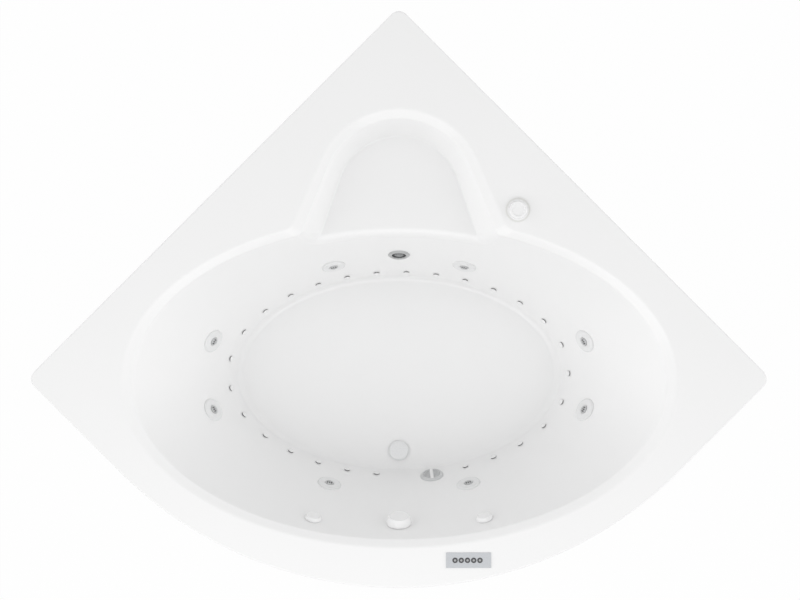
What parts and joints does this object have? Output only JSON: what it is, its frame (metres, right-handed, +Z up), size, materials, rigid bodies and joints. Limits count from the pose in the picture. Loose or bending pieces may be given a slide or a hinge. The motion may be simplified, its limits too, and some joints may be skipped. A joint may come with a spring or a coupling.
{
  "type": "corner bathtub",
  "caption": "White corner bath with an oval basin, a seat in the wall corner, a bowed apron, hydro jets and air jets, a drain with turning overflow and a steel frame below.",
  "frame": {"origin": "on the floor, under the middle of the bath's outline", "axes": "+Z up, +Y towards the corner between the two room walls, +X to the right when facing that corner"},
  "size_m": [2.1302, 1.6693, 0.5803],
  "materials": {
    "white_acrylic": "gloss",
    "white_apron": "gloss",
    "white_fittings": "gloss",
    "grey_fittings": "satin",
    "silver_panel": "satin",
    "button_caps": "satin",
    "lens_grey": "gloss",
    "chrome_trim": "polished",
    "white_pipe": "matte",
    "black_plastic": "matte",
    "motor_grey": "satin",
    "rotor_steel": "satin",
    "frame_steel": "satin",
    "zinc_feet": "satin",
    "board_wood": "matte",
    "rubber_black": "matte"
  },
  "bodies": {
    "bath": {"air_channel": "white_pipe", "air_injectors": "white_fittings", "air_valve_bodies": "white_pipe", "apron_brackets": "frame_steel", "base_board": "board_wood", "blower_hose": "white_pipe", "blower_housing": "black_plastic", "blower_mount": "frame_steel", "control_box": "black_plastic", "discharge_pipe": "white_pipe", "drain_flange": "chrome_trim", "drain_shoe": "white_pipe", "foot_nuts": "zinc_feet", "frame_posts": "frame_steel", "frame_rails": "frame_steel", "injector_stems": "white_pipe", "jet_air_manifold": "white_pipe", "jet_bodies": "white_pipe", "jet_faces": "white_fittings", "levelling_feet": "zinc_feet", "light_bezel": "grey_fittings", "light_housing": "white_pipe", "light_lens": "lens_grey", "overflow_body": "white_pipe", "overflow_pipe": "white_pipe", "panel_plate": "silver_panel", "plug_cable": "black_plastic", "pump_foot": "black_plastic", "pump_motor": "motor_grey", "pump_terminal_box": "black_plastic", "pump_tray": "frame_steel", "pump_wet_end": "black_plastic", "rim_battens": "board_wood", "suction_body": "white_pipe", "suction_cover": "grey_fittings", "suction_pipe": "white_pipe", "tub_shell": "white_acrylic", "waste_gaskets": "rubber_black", "waste_tailpiece": "white_pipe", "water_manifold": "white_pipe"},
    "apron": {"apron_panel": "white_apron"},
    "overflow_dial": {"overflow_knob": "white_fittings"},
    "plug": {"drain_plug": "chrome_trim"},
    "rotor": {"pump_rotor": "rotor_steel"},
    "deck_knob": {"deck_air_knob": "chrome_trim"},
    "left_knob": {"wall_knob_left": "white_fittings"},
    "right_knob": {"wall_knob_right": "white_fittings"},
    "nozzle_1": {"jet_nozzle_1": "grey_fittings"},
    "nozzle_2": {"jet_nozzle_2": "grey_fittings"},
    "nozzle_3": {"jet_nozzle_3": "grey_fittings"},
    "nozzle_4": {"jet_nozzle_4": "grey_fittings"},
    "nozzle_5": {"jet_nozzle_5": "grey_fittings"},
    "nozzle_6": {"jet_nozzle_6": "grey_fittings"},
    "nozzle_7": {"jet_nozzle_7": "grey_fittings"},
    "nozzle_8": {"jet_nozzle_8": "grey_fittings"},
    "button_1": {"panel_button_1": "button_caps"},
    "button_2": {"panel_button_2": "button_caps"},
    "button_3": {"panel_button_3": "button_caps"},
    "button_4": {"panel_button_4": "button_caps"},
    "button_5": {"panel_button_5": "button_caps"}
  },
  "joints": [
    {"name": "apron_off", "type": "slide", "parent": "bath", "child": "apron", "axis": [0, -1, 0], "range_m": [0, 0.3]},
    {"name": "overflow_turn", "type": "hinge", "parent": "bath", "child": "overflow_dial", "pos_m": [0, -0.65861, 0.46072], "axis": [0, 0.9185, 0.3953], "range_deg": [0, 90]},
    {"name": "plug_lift", "type": "slide", "parent": "bath", "child": "plug", "axis": [0, 0, 1], "range_m": [0, 0.012]},
    {"name": "pump_spin", "type": "hinge", "parent": "bath", "child": "rotor", "pos_m": [0, 0.33, 0.214], "axis": [1, 0, 0], "continuous": true},
    {"name": "nozzle_1_tilt", "type": "hinge", "parent": "bath", "child": "nozzle_1", "pos_m": [0.5625, -0.12652, 0.28232], "axis": [0.4652, -0.8852, 0], "range_deg": [-10, 10]},
    {"name": "nozzle_2_tilt", "type": "hinge", "parent": "bath", "child": "nozzle_2", "pos_m": [0.1982, 0.10011, 0.28127], "axis": [0.9783, -0.2071, 0], "range_deg": [-10, 10]},
    {"name": "nozzle_3_tilt", "type": "hinge", "parent": "bath", "child": "nozzle_3", "pos_m": [-0.1982, 0.10011, 0.28127], "axis": [0.9783, 0.2071, 0], "range_deg": [-10, 10]},
    {"name": "nozzle_4_tilt", "type": "hinge", "parent": "bath", "child": "nozzle_4", "pos_m": [-0.5625, -0.12652, 0.28232], "axis": [0.4652, 0.8852, 0], "range_deg": [-10, 10]},
    {"name": "nozzle_5_tilt", "type": "hinge", "parent": "bath", "child": "nozzle_5", "pos_m": [-0.56253, -0.33423, 0.28236], "axis": [-0.4652, 0.8852, 0], "range_deg": [-10, 10]},
    {"name": "nozzle_6_tilt", "type": "hinge", "parent": "bath", "child": "nozzle_6", "pos_m": [-0.21077, -0.5581, 0.2813], "axis": [-0.9752, 0.2214, 0], "range_deg": [-10, 10]},
    {"name": "nozzle_7_tilt", "type": "hinge", "parent": "bath", "child": "nozzle_7", "pos_m": [0.21077, -0.5581, 0.2813], "axis": [-0.9752, -0.2214, 0], "range_deg": [-10, 10]},
    {"name": "nozzle_8_tilt", "type": "hinge", "parent": "bath", "child": "nozzle_8", "pos_m": [0.56253, -0.33423, 0.28236], "axis": [-0.4652, -0.8852, 0], "range_deg": [-10, 10]},
    {"name": "button_1_press", "type": "slide", "parent": "bath", "child": "button_1", "axis": [0, 0, -1], "range_m": [0, 0.001], "stiffness_N_per_m": 400},
    {"name": "button_2_press", "type": "slide", "parent": "bath", "child": "button_2", "axis": [0, 0, -1], "range_m": [0, 0.001], "stiffness_N_per_m": 400},
    {"name": "button_3_press", "type": "slide", "parent": "bath", "child": "button_3", "axis": [0, 0, -1], "range_m": [0, 0.001], "stiffness_N_per_m": 400},
    {"name": "button_4_press", "type": "slide", "parent": "bath", "child": "button_4", "axis": [0, 0, -1], "range_m": [0, 0.001], "stiffness_N_per_m": 400},
    {"name": "button_5_press", "type": "slide", "parent": "bath", "child": "button_5", "axis": [0, 0, -1], "range_m": [0, 0.001], "stiffness_N_per_m": 400},
    {"name": "deck_knob_turn", "type": "hinge", "parent": "bath", "child": "deck_knob", "pos_m": [0.3443, 0.2591, 0.56], "axis": [0, 0, 1], "range_deg": [0, 270]},
    {"name": "left_knob_turn", "type": "hinge", "parent": "bath", "child": "left_knob", "pos_m": [-0.25144, -0.64192, 0.48242], "axis": [0.1929, 0.8922, 0.4084], "range_deg": [0, 90]},
    {"name": "right_knob_turn", "type": "hinge", "parent": "bath", "child": "right_knob", "pos_m": [0.25144, -0.64192, 0.48242], "axis": [-0.1929, 0.8922, 0.4084], "range_deg": [0, 90]}
  ],
  "couplings": [
    {"joint": "plug_lift", "follows": "overflow_turn", "m_per_rad": 0.007639}
  ]
}
